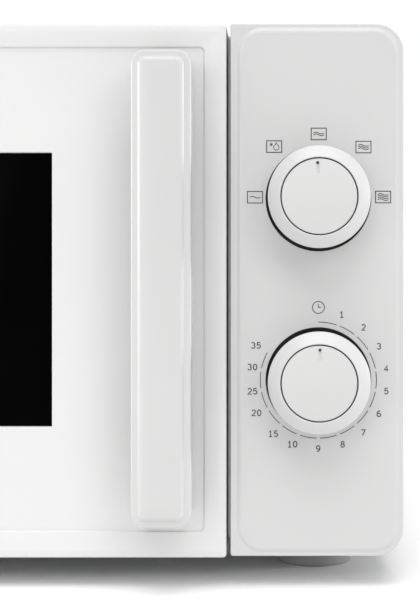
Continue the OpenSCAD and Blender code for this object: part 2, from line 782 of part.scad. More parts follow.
// What the hinge pin, its leaf and the rounded back corner take out of the door.
module hinge_room() {
    difference() {
        block([left - 1, hinge_y, door_z0 - 1], [hinge_x, door_back + 1, door_z1 + 1]);
        translate([hinge_x, hinge_y, door_z0 - 2]) cylinder(r = door_back - hinge_y, h = oven_h);
    }
    for (z = [upper_leaf_z, lower_leaf_z])
        block([left - 1, hinge_y - 6.5, z - 0.5], [hinge_x + 4.6, door_back + 1, z + leaf_t + 0.5]);
    translate([hinge_x, hinge_y, upper_leaf_z - 9]) cylinder(r = pin_r + clear, h = 9);
    translate([hinge_x, hinge_y, lower_leaf_z + leaf_t]) cylinder(r = pin_r + clear, h = 9);
    block([hinge_x - 5, door_back - 1.2, upper_leaf_z - 5], [hinge_x + 16, door_back + 1, upper_leaf_z + 3]);
    block([hinge_x - 5, door_back - 1.2, lower_leaf_z - 1], [hinge_x + 16, door_back + 1, lower_leaf_z + 5]);
}

module door_frame() color("white") {
    wall = 4;
    difference() {
        slab(face_y, door_back) outline(left, door_x1, door_z0, door_z1, corner_r, 1.5);
        rounded_slab(left + 10.3, door_x1 - 10.2, door_z0 + 12, door_z1 - 10.4,
            face_y - 1, field_y, 2);
        block([left + 14, wall_back_y, door_z0 + wall], [door_x1 - wall, door_back + 1, door_z1 - wall]);
        block([window_x0, face_y - 1, window_z0],
            [window_x0 + window_w, wall_back_y + 1, window_z0 + window_h]);
        hinge_room();
        handle_screw_places() bar_y([0, face_y - 1, 0], screw_r + 0.1, 10);
    }
    for (z = [112, 162]) {
        block([latch_x - 4, wall_back_y, z], [door_x1 - wall, latch_front_y - 0.3, z + 4]);
        block([latch_x + 1, latch_back_y + 0.3, z], [door_x1 - wall, latch_back_y + 2.3, z + 4]);
    }
}

module door_glass() color("black")
    block([window_x0 - 5, wall_back_y, window_z0 - 5],
        [window_x0 + window_w + 5, wall_back_y + glass_t, window_z0 + window_h + 5]);

pan_x0 = left + 16;
pan_x1 = door_x1 - 14.7;
pan_z0 = door_z0 + 14.9;
pan_z1 = door_z1 - 11.7;
choke_w = 18;
pan_y = door_back - 0.4;

module door_inner_panel() color("gainsboro") {
    channel_y = pan_y - 14;
    x0 = pan_x0 + choke_w;
    x1 = pan_x1 - choke_w;
    z0 = pan_z0 + choke_w;
    z1 = pan_z1 - choke_w;
    difference() {
        union() {
            rounded_slab(x0, x1, z0, z1, channel_y, pan_y, 3);
            rounded_slab(pan_x0, pan_x1, pan_z0, pan_z1, channel_y, pan_y - 2.4, 3);
        }
        rounded_slab(x0 + sheet, x1 - sheet, z0 + sheet, z1 - sheet, channel_y - 1, pan_y - sheet, 2.2);
        difference() {
            rounded_slab(pan_x0 + sheet, pan_x1 - sheet, pan_z0 + sheet, pan_z1 - sheet,
                channel_y + sheet, pan_y + 1, 2.2);
            rounded_slab(x0, x1, z0, z1, channel_y - 1, pan_y + 2, 3);
        }
        block([window_x0 + 2, pan_y - 2, window_z0 + 2],
            [window_x0 + window_w - 2, pan_y + 1, window_z0 + window_h - 2]);
    }
}

module door_screen() color("gray")
    block([window_x0 - 6, pan_y - 2 * sheet, window_z0 - 6],
        [window_x0 + window_w + 6, pan_y - sheet, window_z0 + window_h + 6]);

module door_choke_cover() color("lightgray") difference() {
    rounded_slab(pan_x0 - 1.6, pan_x1 + 1.6, pan_z0 - 1.6, pan_z1 + 1.6, pan_y - 2, pan_y, 3);
    rounded_slab(pan_x0 + choke_w - 0.4, pan_x1 - choke_w + 0.4, pan_z0 + choke_w - 0.4,
        pan_z1 - choke_w + 0.4, pan_y - 3, pan_y + 1, 3);
}

module handle_screw_places() {
    for (s = [-1, 1]) translate([handle_x, 0, handle_z + s * (handle_l - handle_post_l) / 2])
        children();
}

module door_handle() color("white") {
    x0 = handle_x - handle_w / 2;
    x1 = handle_x + handle_w / 2;
    z0 = handle_z - handle_l / 2;
    z1 = handle_z + handle_l / 2;
    front_y = face_y - handle_reach;
    lip = 3.2;
    difference() {
        union() {
            rounded_slab(x0, x1, z0, z1, front_y + 1.5, front_y + handle_bar_t, 6.5);
            rounded_slab(x0 + lip, x1 - lip, z0 + lip, z1 - lip, front_y, front_y + 4, 4);
            for (z = [z0 + 1.2, z1 - 1.2 - handle_post_l])
                rounded_slab(x0 + 1.5, x1 - 1.5, z, z + handle_post_l, front_y + 4, field_y, 4);
        }
        handle_screw_places() bar_y([0, field_y - 14, 0], screw_r + clear, 15);
    }
}

module handle_screws() color("silver") handle_screw_places() {
    grip = 11;
    bar_y([0, field_y - grip, 0], screw_r, wall_back_y - field_y + grip);
    bar_y([0, wall_back_y, 0], 2.1 * screw_r, 2.6);
}

latch_front_y = wall_back_y + 5;
latch_back_y = door_back - 10;

module latch_bar() color("ivory") {
    block([latch_x - 2.5, latch_front_y, door_z0 + 20], [latch_x + 2.5, latch_back_y, door_z1 - 18]);
    for (z = [upper_hook_z, lower_hook_z]) {
        block([latch_x - 2, latch_back_y - 1, z], [latch_x + 2, hook_end_y, z + 5]);
        block([latch_x - 2, hook_end_y - 4.4, z - 5], [latch_x + 2, hook_end_y, z + 1]);
        translate([latch_x - 2, latch_back_y - 1, z]) rotate([0, 90, 0]) cylinder(r = 5, h = 4);
    }
}

module latch_spring() color("silver") {
    turns = 4;
    steps = 14;
    z0 = door_z1 - 17.2;
    z1 = door_z1 - 5;
    coil_r = 1.8;
    cy = (latch_front_y + latch_back_y) / 2;
    wire([for (i = [0 : turns * steps]) [
        latch_x + coil_r * cos(360 * i / steps),
        cy + coil_r * sin(360 * i / steps),
        z0 + (z1 - z0) * i / (turns * steps)
    ]], 0.35, 6, [0, 0, 1]);
}

base_plate();
outer_cover();
rear_panel();
front_plate();
feet();
rear_spacers();
cover_screws();
cord_inlet();
oven_cavity();
waveguide();
waveguide_cover();
magnetron_yoke();
magnetron_core();
magnetron_filter_box();
transformer_core();
transformer_windings();
capacitor();
capacitor_clamp();
hv_diode();
fan_housing();
fan_motor();
fan_rotor();
fan_blade();
lamp_socket();
lamp_bulb();
thermal_cutout();
noise_filter_board();
wiring_loom();
turntable_motor();
turntable_shaft();
turntable_coupler();
glass_tray();
roller_ring();
roller_1();
roller_2();
roller_3();
interlock_bracket();
door_switches();
switch_plungers();
hinge_bracket_upper();
hinge_bracket_lower();
control_panel();
control_bracket();
timer_housing();
power_switch_housing();
power_shaft();
power_knob();
power_knob_cap();
timer_shaft();
timer_knob();
timer_knob_cap();
door_frame();
door_glass();
door_inner_panel();
door_screen();
door_choke_cover();
door_handle();
handle_screws();
latch_bar();
latch_spring();
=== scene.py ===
import json
import math

import bmesh
import bpy
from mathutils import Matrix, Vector


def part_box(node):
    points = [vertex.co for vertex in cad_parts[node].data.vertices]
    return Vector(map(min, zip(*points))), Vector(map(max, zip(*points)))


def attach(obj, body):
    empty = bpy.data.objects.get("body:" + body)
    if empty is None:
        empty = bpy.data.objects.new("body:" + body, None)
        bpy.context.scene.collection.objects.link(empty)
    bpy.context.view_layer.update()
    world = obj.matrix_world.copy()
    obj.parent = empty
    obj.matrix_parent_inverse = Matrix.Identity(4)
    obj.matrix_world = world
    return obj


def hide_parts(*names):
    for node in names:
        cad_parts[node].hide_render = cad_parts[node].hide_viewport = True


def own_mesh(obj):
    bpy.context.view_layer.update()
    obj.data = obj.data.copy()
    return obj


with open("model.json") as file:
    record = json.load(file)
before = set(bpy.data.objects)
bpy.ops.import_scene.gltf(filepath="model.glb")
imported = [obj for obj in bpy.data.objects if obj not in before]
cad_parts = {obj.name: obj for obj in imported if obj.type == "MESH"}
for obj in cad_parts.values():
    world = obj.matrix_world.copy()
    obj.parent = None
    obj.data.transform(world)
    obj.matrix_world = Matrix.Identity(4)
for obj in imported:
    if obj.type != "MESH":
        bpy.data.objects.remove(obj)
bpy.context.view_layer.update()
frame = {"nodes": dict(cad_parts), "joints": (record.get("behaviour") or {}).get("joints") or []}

MM = 0.001


# ---- Camera ----
# The viewer stands under two thirds of a metre in front of the controls and a little above their middle.
# The lens looks straight at the front, so upright and level edges stay parallel.
panel_lo, panel_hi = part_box("control_panel")
face_y = panel_lo.y
eye_in_from_right, eye_distance, eye_height = 54.4 * MM, 640 * MM, 145.5 * MM
eye = bpy.data.objects.new("eye", bpy.data.cameras.new("eye"))
eye.location = (panel_hi.x - eye_in_from_right, face_y - eye_distance, eye_height)
eye.rotation_euler = (math.radians(90), 0, 0)
eye.data.lens = 83.8
eye.data.shift_x, eye.data.shift_y = -0.125, -0.048
eye.data.clip_start = 0.01
bpy.context.scene.collection.objects.link(eye)
bpy.context.scene.camera = eye
bpy.context.scene.view_settings.view_transform = "Standard"


# ---- Room and light ----
# A plain white floor under an even white sky. A broad lamp shines from above, two from the front
# corners, and a narrower one along each side lights the edges.
def node(tree, kind, settings=None, **values):
    """Adds a shader node, and sets or links its inputs by name."""
    made = tree.nodes.new(kind)
    for key, value in (settings or {}).items():
        setattr(made, key, value)
    for key, value in values.items():
        socket = made.inputs[key.replace("_", " ")]
        if isinstance(value, bpy.types.NodeSocket):
            tree.links.new(value, socket)
        else:
            socket.default_value = value
    return made


def blend_colour(tree, factor, first, second):
    """Mixes two colours by a factor that changes over the surface."""
    mix = tree.nodes.new("ShaderNodeMix")
    mix.data_type = "RGBA"
    tree.links.new(factor, mix.inputs[0])
    for socket, value in ((mix.inputs[6], first), (mix.inputs[7], second)):
        if isinstance(value, bpy.types.NodeSocket):
            tree.links.new(value, socket)
        else:
            socket.default_value = (*value[:3], 1)
    return mix.outputs[2]


def between(tree, value, low, high):
    """Spreads a value of 0 to 1 over low to high."""
    return node(tree, "ShaderNodeMapRange", Value=value, To_Min=low, To_Max=high).outputs[0]


world = bpy.data.worlds.new("studio")
world.use_nodes = True
sky = world.node_tree
seen = node(sky, "ShaderNodeLightPath").outputs["Is Camera Ray"]
sky.links.new(between(sky, seen, 0.49, 1.02), sky.nodes["Background"].inputs["Strength"])
sky.nodes["Background"].inputs["Color"].default_value = (1, 1, 1, 1)
bpy.context.scene.world = world


def soft_lamp(name, strength, spread, towards):
    """A broad distant lamp that shines along a direction."""
    data = bpy.data.lights.new(name, "SUN")
    data.energy, data.angle = strength, math.radians(spread)
    made = bpy.data.objects.new(name, data)
    made.rotation_euler = Vector(towards).to_track_quat("-Z", "Y").to_euler()
    bpy.context.scene.collection.objects.link(made)


soft_lamp("overhead", 2.2, 50, (0.02, 0.4, -0.92))
soft_lamp("left_key", 0.72, 40, (0.5, 0.85, -0.14))
soft_lamp("right_key", 0.7, 30, (-0.5, 0.75, -0.45))
soft_lamp("left_strip", 2.0, 12, (1, -0.05, -0.08))
soft_lamp("right_strip", 1.3, 12, (-1, -0.15, -0.16))

floor_look = bpy.data.materials.new("floor_paint")
floor_look.use_nodes = True
floor_shader = floor_look.node_tree.nodes["Principled BSDF"]
floor_shader.inputs["Roughness"].default_value = 0.6
floor_tone = node(floor_look.node_tree, "ShaderNodeTexNoise", Scale=3.0).outputs[0]
floor_look.node_tree.links.new(
    blend_colour(floor_look.node_tree, floor_tone, (0.93, 0.93, 0.93), (0.96, 0.96, 0.96)),
    floor_shader.inputs["Base Color"])
floor_mesh = bpy.data.meshes.new("floor")
floor_mesh.from_pydata([(-6, -4, 0), (6, -4, 0), (6, 8, 0), (-6, 8, 0)], [], [(0, 1, 2, 3)])
floor_mesh.materials.append(floor_look)
floor = bpy.data.objects.new("floor", floor_mesh)
bpy.context.scene.collection.objects.link(floor)


# ---- Base plate, rear panel and brackets ----
# Zinc-coated steel sheet, cut and folded, spot welded together.
# The zinc shows as faint crystals, and rolling left fine lines in it.
def shader_group(name, inputs, outputs):
    """A node group with named number inputs; returns its tree, its inputs and its output node."""
    tree = bpy.data.node_groups.new(name, "ShaderNodeTree")
    for label, value in inputs.items():
        tree.interface.new_socket(label, in_out="INPUT", socket_type="NodeSocketFloat").default_value = value
    for label in outputs:
        tree.interface.new_socket(label, in_out="OUTPUT", socket_type="NodeSocketFloat")
    return tree, tree.nodes.new("NodeGroupInput").outputs, tree.nodes.new("NodeGroupOutput")


def place_group(tree, group, **values):
    """Puts a node group into a material, sets its inputs by name and returns its outputs."""
    made = tree.nodes.new("ShaderNodeGroup")
    made.node_tree = group
    for key, value in values.items():
        made.inputs[key.replace("_", " ")].default_value = value
    return made.outputs


def look(name, colour, roughness, **constants):
    """A material with one surface shader; constants are set on the shader's own sockets."""
    made = bpy.data.materials.new(name)
    made.use_nodes = True
    shader = made.node_tree.nodes["Principled BSDF"]
    shader.inputs["Base Color"].default_value = (*colour, 1)
    shader.inputs["Roughness"].default_value = roughness
    for key, value in constants.items():
        shader.inputs[key.replace("_", " ")].default_value = value
    return made, made.node_tree, shader


def raise_surface(tree, shader, height, depth):
    """Feeds a height of 0 to 1 to the shader's normal; depth is in metres."""
    bump = node(tree, "ShaderNodeBump", Height=height, Distance=depth, Strength=1.0)
    tree.links.new(bump.outputs[0], shader.inputs["Normal"])


# Spangle: cells of zinc crystal, and fine rolling lines along the sheet.
spangle, spangle_in, spangle_out = shader_group(
    "zinc_spangle", {"Cells per metre": 120.0, "Line strength": 0.3}, ["Tone", "Height"])
place = node(spangle, "ShaderNodeTexCoord").outputs["Object"]
cells = node(spangle, "ShaderNodeTexVoronoi", Vector=place, Scale=spangle_in[0])
crystal = node(spangle, "ShaderNodeSeparateColor", Color=cells.outputs["Color"]).outputs[0]
stretched = node(spangle, "ShaderNodeMapping", Vector=place, Scale=(18, 900, 900)).outputs[0]
lines = node(spangle, "ShaderNodeTexNoise", Vector=stretched, Scale=1.0, Detail=2.0).outputs[0]
rolled = node(spangle, "ShaderNodeMath", {"operation": "MULTIPLY"}, Value=lines)
spangle.links.new(spangle_in[1], rolled.inputs[1])
spangle.links.new(crystal, spangle_out.inputs["Tone"])
spangle.links.new(rolled.outputs[0], spangle_out.inputs["Height"])


def zinc(name, colour, cells_per_metre):
    """Bare metal sheet with crystals of slightly different tone and gloss."""
    made, tree, shader = look(name, colour, 0.4, Metallic=1.0)
    effect = place_group(tree, spangle, Cells_per_metre=cells_per_metre)
    dull = tuple(0.8 * c for c in colour)
    tree.links.new(blend_colour(tree, effect["Tone"], dull, colour), shader.inputs["Base Color"])
    tree.links.new(between(tree, effect["Tone"], 0.32, 0.5), shader.inputs["Roughness"])
    raise_surface(tree, shader, effect["Height"], 0.02 * MM)
    return made


def dress(finish, *names):
    """Gives CAD nodes their finish."""
    for name in names:
        for place_of_finish in frame["nodes"][name].material_slots:
            place_of_finish.material = finish


dress(zinc("zinc_sheet", (0.62, 0.63, 0.64), 110.0),
      "base_plate", "rear_panel", "hinge_bracket_upper", "hinge_bracket_lower", "waveguide",
      "magnetron_yoke", "magnetron_filter_box", "capacitor_clamp", "timer_housing",
      "turntable_motor")
plated_steel = zinc("plated_steel", (0.55, 0.55, 0.54), 400.0)
dress(plated_steel,
      "cover_screws", "handle_screws", "power_shaft", "timer_shaft", "fan_rotor")


# ---- Front plate and outer cover ----
# Steel sheet with a fine white powder coat: tiny even orange peel, and a trace of dust on top.
# The cover is one folded wrapper, screwed on from behind.
grain, grain_in, grain_out = shader_group(
    "fine_grain", {"Grains per metre": 2500.0, "Patches per metre": 9.0}, ["Height", "Patches"])
place = node(grain, "ShaderNodeTexCoord").outputs["Object"]
bumps = node(grain, "ShaderNodeTexNoise", Vector=place, Scale=grain_in[0], Detail=2.0, Roughness=0.6)
broad = node(grain, "ShaderNodeTexNoise", Vector=place, Scale=grain_in[1], Detail=3.0, Roughness=0.55)
grain.links.new(bumps.outputs[0], grain_out.inputs["Height"])
grain.links.new(
    node(grain, "ShaderNodeMapRange", {"interpolation_type": "SMOOTHSTEP"}, Value=broad.outputs[0],
         From_Min=0.25, From_Max=0.75).outputs[0],
    grain_out.inputs["Patches"])

dust, dust_in, dust_out = shader_group(
    "settled_dust", {"Specks per metre": 700.0, "Amount": 0.3}, ["Cover"])
facing = node(dust, "ShaderNodeNewGeometry").outputs["Normal"]
upward = node(dust, "ShaderNodeSeparateXYZ", Vector=facing).outputs[2]
place = node(dust, "ShaderNodeTexCoord").outputs["Object"]
specks = node(dust, "ShaderNodeTexNoise", Vector=place, Scale=dust_in[0], Detail=4.0, Roughness=0.8)
flat_only = node(dust, "ShaderNodeMapRange", Value=upward, From_Min=0.6, From_Max=1.0).outputs[0]
caught = node(dust, "ShaderNodeMapRange", Value=specks.outputs[0], From_Min=0.5, From_Max=0.75).outputs[0]
settled = node(dust, "ShaderNodeMath", {"operation": "MULTIPLY"}).outputs[0]
dust.links.new(flat_only, settled.node.inputs[0])
dust.links.new(caught, settled.node.inputs[1])
lying = node(dust, "ShaderNodeMath", {"operation": "MULTIPLY"}).outputs[0]
dust.links.new(settled, lying.node.inputs[0])
dust.links.new(dust_in[1], lying.node.inputs[1])
dust.links.new(lying, dust_out.inputs["Cover"])


def painted(name, colour, roughness, grains, depth, dusty=0.25):
    """Powder coat or moulded plastic: fine grain, slow changes of gloss and a little dust."""
    made, tree, shader = look(name, colour, roughness)
    effect = place_group(tree, grain, Grains_per_metre=grains)
    veil = place_group(tree, dust, Amount=dusty)
    darker = tuple(0.97 * c for c in colour)
    base = blend_colour(tree, effect["Patches"], darker, colour)
    dusted = blend_colour(tree, veil["Cover"], base, (0.55, 0.53, 0.5))
    tree.links.new(dusted, shader.inputs["Base Color"])
    tree.links.new(between(tree, effect["Patches"], roughness - 0.04, roughness + 0.05),
                   shader.inputs["Roughness"])
    raise_surface(tree, shader, effect["Height"], depth)
    return made


cabinet_paint = painted("cabinet_paint", (0.56, 0.56, 0.557), 0.42, 1400.0, 0.05 * MM)
dress(cabinet_paint, "outer_cover", "front_plate")


# ---- Oven cavity and inner door panel ----
# Deep-drawn steel, fired with a light grey speckled enamel that stands up to heat and steam.
# The cavity is welded to the front plate; the inner panel clips into the back of the door.
speckle, speckle_in, speckle_out = shader_group(
    "enamel_speckle", {"Specks per metre": 900.0, "Speck size": 0.28}, ["Mask"])
place = node(speckle, "ShaderNodeTexCoord").outputs["Object"]
dots = node(speckle, "ShaderNodeTexVoronoi", Vector=place, Scale=speckle_in[0])
near = node(speckle, "ShaderNodeMath", {"operation": "LESS_THAN"}, Value=dots.outputs["Distance"])
speckle.links.new(speckle_in[1], near.inputs[1])
picked = node(speckle, "ShaderNodeSeparateColor", Color=dots.outputs["Color"]).outputs[0]
some = node(speckle, "ShaderNodeMath", {"operation": "GREATER_THAN"}, Value=picked)
some.inputs[1].default_value = 0.55
both = node(speckle, "ShaderNodeMath", {"operation": "MULTIPLY"}, Value=near.outputs[0])
speckle.links.new(some.outputs[0], both.inputs[1])
speckle.links.new(both.outputs[0], speckle_out.inputs["Mask"])


def enamel(name, colour, fleck):
    """Fired enamel: a glossy coat over fine specks of a darker colour."""
    made, tree, shader = look(name, colour, 0.3, Coat_Weight=0.3, Coat_Roughness=0.15)
    flecks = place_group(tree, speckle)
    effect = place_group(tree, grain, Grains_per_metre=500.0)
    base = blend_colour(tree, effect["Patches"], tuple(0.95 * c for c in colour), colour)
    tree.links.new(blend_colour(tree, flecks["Mask"], base, fleck), shader.inputs["Base Color"])
    tree.links.new(between(tree, effect["Patches"], 0.3, 0.4), shader.inputs["Roughness"])
    raise_surface(tree, shader, effect["Height"], 0.06 * MM)
    return made


cavity_enamel = enamel("cavity_enamel", (0.6, 0.61, 0.6), (0.32, 0.33, 0.34))
dress(cavity_enamel, "oven_cavity", "door_inner_panel")


def plain(name, colour, roughness, grains=900.0, depth=0.03 * MM):
    """Small moulded parts: matt plastic, rubber or board with its own grain."""
    return painted(name, colour, roughness, grains, depth, dusty=0.1)


dress(plain("mica_sheet", (0.5, 0.4, 0.27), 0.35, 300.0, 0.1 * MM), "waveguide_cover")


# ---- Power parts in the right-hand bay ----
# Magnetron, transformer, capacitor, diode, fan and filter board stand on the base plate.
# They are bare aluminium, varnished laminations, enamelled copper and plain black plastic,
# screwed to the base plate, the cavity's side or the rear panel.
dress(zinc("bare_aluminium", (0.72, 0.73, 0.74), 40.0), "magnetron_core", "capacitor")


def layered(name, dark, light, layers_per_metre, axis_scale, metallic):
    """Thin layers or turns seen on edge: laminations, or wire wound on a coil."""
    made, tree, shader = look(name, light, 0.4, Metallic=metallic)
    place = node(tree, "ShaderNodeTexCoord").outputs["Object"]
    squeezed = node(tree, "ShaderNodeMapping", Vector=place, Scale=axis_scale).outputs[0]
    bands = node(tree, "ShaderNodeTexWave", Vector=squeezed, Scale=layers_per_metre, Distortion=0.4,
                 Detail=1.0).outputs[0]
    tree.links.new(blend_colour(tree, bands, dark, light), shader.inputs["Base Color"])
    tree.links.new(between(tree, bands, 0.6, 0.35), shader.inputs["Roughness"])
    raise_surface(tree, shader, bands, 0.15 * MM)
    return made


dress(layered("laminations", (0.05, 0.05, 0.055), (0.17, 0.17, 0.18), 160.0, (0, 1, 0), 0.6),
      "transformer_core", "fan_motor")
dress(layered("copper_windings", (0.16, 0.05, 0.02), (0.55, 0.23, 0.09), 120.0, (0, 0, 1), 0.9),
      "transformer_windings")
black_plastic = plain("black_plastic", (0.03, 0.03, 0.032), 0.45)
dress(black_plastic,
      "door_switches", "hv_diode", "thermal_cutout", "power_switch_housing", "fan_housing")
# Painted shade: the control bracket behind the knob holes is made near black so the gaps round the knobs
# read dark.
dress(plain("bracket_painted_shade", (0.055, 0.055, 0.056), 0.5, 500.0), "control_bracket")
dress(plain("circuit_board", (0.03, 0.13, 0.06), 0.35, 200.0, 0.2 * MM), "noise_filter_board")
dress(plain("wire_insulation", (0.3, 0.03, 0.025), 0.5), "wiring_loom")
dress(plain("red_plastic", (0.45, 0.03, 0.02), 0.35), "switch_plungers")
dress(plain("white_nylon", (0.78, 0.77, 0.73), 0.4), "fan_blade", "roller_1", "roller_2", "roller_3")
dress(plain("ivory_plastic", (0.7, 0.66, 0.55), 0.45),
      "turntable_coupler", "roller_ring", "interlock_bracket", "latch_bar", "lamp_socket",
      "turntable_shaft")


# ---- Glass tray, lamp and window ----
# The tray is pressed clear glass with a faintly rippled skin; the lamp bulb is thin blown glass.
# The window is a polished pane, painted black behind, and only its front shows.
def clear_glass(name, colour, ripples, depth):
    """Clear glass whose skin ripples a number of times in each metre."""
    made, tree, shader = look(name, colour, 0.03, Transmission_Weight=1.0, IOR=1.5)
    effect = place_group(tree, grain, Grains_per_metre=ripples)
    tree.links.new(between(tree, effect["Patches"], 0.02, 0.06), shader.inputs["Roughness"])
    raise_surface(tree, shader, effect["Height"], depth)
    return made


dress(clear_glass("tray_glass", (0.9, 0.97, 0.95), 60.0, 0.3 * MM), "glass_tray")
dress(clear_glass("bulb_glass", (1.0, 0.97, 0.9), 30.0, 0.1 * MM), "lamp_bulb")

window_look, tree, shader = look("window_glass", (0.0005, 0.0005, 0.0006), 0.06,
                                 Specular_IOR_Level=0.012)
effect = place_group(tree, grain, Grains_per_metre=25.0, Patches_per_metre=14.0)
tree.links.new(
    blend_colour(tree, effect["Patches"], (0.0003, 0.0003, 0.0004), (0.0009, 0.0009, 0.001)),
    shader.inputs["Base Color"])
tree.links.new(between(tree, effect["Patches"], 0.04, 0.12), shader.inputs["Roughness"])
dress(window_look, "door_glass")


# ---- Door screen and choke cover ----
# The screen is black steel sheet with staggered round holes too small for the waves to pass.
# The choke cover is a grey plastic ring that closes the folded channel round it.
holes, holes_in, holes_out = shader_group(
    "staggered_holes", {"Pitch": 2.2 * MM, "Hole radius": 0.75 * MM}, ["Solid"])
place = node(holes, "ShaderNodeTexCoord").outputs["Object"]
axes = node(holes, "ShaderNodeSeparateXYZ", Vector=place).outputs


def calculate(tree, operation, first, second=None):
    """One step of arithmetic on values that change over the surface."""
    made = node(tree, "ShaderNodeMath", {"operation": operation})
    for socket, value in zip(made.inputs, (first, second)):
        if isinstance(value, bpy.types.NodeSocket):
            tree.links.new(value, socket)
        elif value is not None:
            socket.default_value = value
    return made.outputs[0]


def cell_offset(coordinate, pitch, shift):
    """Distance from the middle of the nearest cell, in cells."""
    cell = calculate(holes, "ADD", calculate(holes, "DIVIDE", coordinate, pitch), shift)
    return calculate(holes, "SUBTRACT", calculate(holes, "FRACT", cell), 0.5)


row_pitch = calculate(holes, "MULTIPLY", holes_in[0], math.sqrt(3))
distances = []
for shift in (0.0, 0.5):
    across = calculate(holes, "MULTIPLY", cell_offset(axes[0], holes_in[0], shift), holes_in[0])
    up = calculate(holes, "MULTIPLY", cell_offset(axes[2], row_pitch, shift), row_pitch)
    square = calculate(holes, "ADD", calculate(holes, "MULTIPLY", across, across),
                       calculate(holes, "MULTIPLY", up, up))
    distances.append(calculate(holes, "SQRT", square))
nearest = calculate(holes, "MINIMUM", *distances)
holes.links.new(calculate(holes, "GREATER_THAN", nearest, holes_in[1]), holes_out.inputs["Solid"])

screen_look, tree, shader = look("screen_paint", (0.02, 0.02, 0.02), 0.5)
effect = place_group(tree, grain, Grains_per_metre=1500.0)
tree.links.new(blend_colour(tree, effect["Patches"], (0.015, 0.015, 0.016), (0.03, 0.03, 0.031)),
               shader.inputs["Base Color"])
tree.links.new(place_group(tree, holes)["Solid"], shader.inputs["Alpha"])
raise_surface(tree, shader, effect["Height"], 0.03 * MM)
dress(screen_look, "door_screen")
dress(plain("grey_plastic", (0.34, 0.35, 0.36), 0.45), "door_choke_cover")


# ---- Feet, rear spacers and cord inlet ----
# Grey rubber, moulded, with a stepped tread and a sunk middle that takes each foot's screw.
# The feet are under the base plate; the spacers and the inlet are pushed into the rear panel.
def lathe(profile, centre, turn, steps=72):
    """Turns (radius, height) points round an axis: turn maps (across, up, height) to a position."""
    shape = bmesh.new()
    rings = []
    for radius, height in profile:
        if radius == 0:
            rings.append([shape.verts.new(turn(0, 0, height, centre))])
            continue
        rings.append([shape.verts.new(turn(
            radius * math.cos(math.tau * i / steps), radius * math.sin(math.tau * i / steps),
            height, centre)) for i in range(steps)])
    for low, high in zip(rings, rings[1:]):
        for i in range(steps):
            corners = [low[i % len(low)], low[(i + 1) % len(low)],
                       high[(i + 1) % len(high)], high[i % len(high)]]
            shape.faces.new(list(dict.fromkeys(corners)))
    return shape


def upright(across, along, height, centre):
    """Height points up, along +Z."""
    return (centre[0] + across, centre[1] + along, centre[2] + height)


def arc(x, y, r, start, end, steps=5):
    """Points of a round corner in a profile; angles in degrees."""
    return [(x + r * math.cos(math.radians(start + (end - start) * i / steps)),
             y + r * math.sin(math.radians(start + (end - start) * i / steps)))
            for i in range(steps + 1)]


def make_piece(name, shape, finish, body, slot, *replaced, crease=35):
    """Turns a bmesh into a piece with smooth faces and creased edges, riding on its body."""
    bmesh.ops.recalc_face_normals(shape, faces=shape.faces)
    mesh = bpy.data.meshes.new(name)
    shape.to_mesh(mesh)
    shape.free()
    mesh.materials.append(finish)
    mesh.polygons.foreach_set("use_smooth", [True] * len(mesh.polygons))
    mesh.set_sharp_from_angle(angle=math.radians(crease))
    made = bpy.data.objects.new(name, mesh)
    bpy.context.scene.collection.objects.link(made)
    made.modifiers.new("even_normals", "WEIGHTED_NORMAL").keep_sharp = True
    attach(made, body)
    if replaced:
        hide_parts(*replaced)
    return made


def joined(shapes):
    """One bmesh that holds several, each still a closed shape of its own."""
    whole = shapes[0]
    for shape in shapes[1:]:
        spare = bpy.data.meshes.new("spare")
        shape.to_mesh(spare)
        shape.free()
        whole.from_mesh(spare)
        bpy.data.meshes.remove(spare)
    return whole


foot_lo, foot_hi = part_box("feet")
foot_top = foot_hi.z
foot_r = 20 * MM
foot_profile = [
    (0, 3 * MM), (5.6 * MM, 3 * MM), (6 * MM, 2.6 * MM), *arc(6.5 * MM, 0.5 * MM, 0.5 * MM, 180, 270),
    *arc(11.2 * MM, 0.4 * MM, 0.4 * MM, 270, 360), (11.6 * MM, 1.2 * MM), (12.4 * MM, 1.2 * MM),
    *arc(12.8 * MM, 0.4 * MM, 0.4 * MM, 180, 270), *arc(16.8 * MM, 1.2 * MM, 1.2 * MM, 270, 355),
    (19.6 * MM, foot_top - 2.4 * MM), *arc(foot_r - 1 * MM, foot_top - 1.4 * MM, 1 * MM, 0, 90),
    (0, foot_top - 0.05 * MM),
]
foot_places = [(x, y, 0) for x in (foot_lo.x + foot_r, foot_hi.x - foot_r)
               for y in (foot_lo.y + foot_r, foot_hi.y - foot_r)]
grey_rubber = plain("grey_rubber", (0.27, 0.27, 0.275), 0.6, 700.0, 0.06 * MM)
make_piece("rubber_feet", joined([lathe(foot_profile, p, upright) for p in foot_places]),
           grey_rubber, "chassis", "grey_rubber", "feet")
dress(grey_rubber, "rear_spacers", "cord_inlet")


# ---- Control panel ----
# A white moulding that clips over the chassis: flat front, wide rounded border, two round holes.
# It closes the right end of the front from top to bottom.
def outline(rect, y, steps=8):
    """A rounded rectangle in the front view: x0, x1, z0, z1, left and right corner radius."""
    x0, x1, z0, z1, r_left, r_right = rect
    corners = [(x0 + r_left, z0 + r_left, r_left, 180), (x1 - r_right, z0 + r_right, r_right, 270),
               (x1 - r_right, z1 - r_right, r_right, 0), (x0 + r_left, z1 - r_left, r_left, 90)]
    return [(cx + r * math.cos(math.radians(start + 90 * i / steps)), y,
             cz + r * math.sin(math.radians(start + 90 * i / steps)))
            for cx, cz, r, start in corners for i in range(steps + 1)]


def inset(rect, d, r_left=None, r_right=None):
    """The same rectangle drawn in by d, with its radii reduced or set."""
    x0, x1, z0, z1, a, b = rect
    return (x0 + d, x1 - d, z0 + d, z1 - d,
            max(a - d, 0.2 * MM) if r_left is None else r_left,
            max(b - d, 0.2 * MM) if r_right is None else r_right)


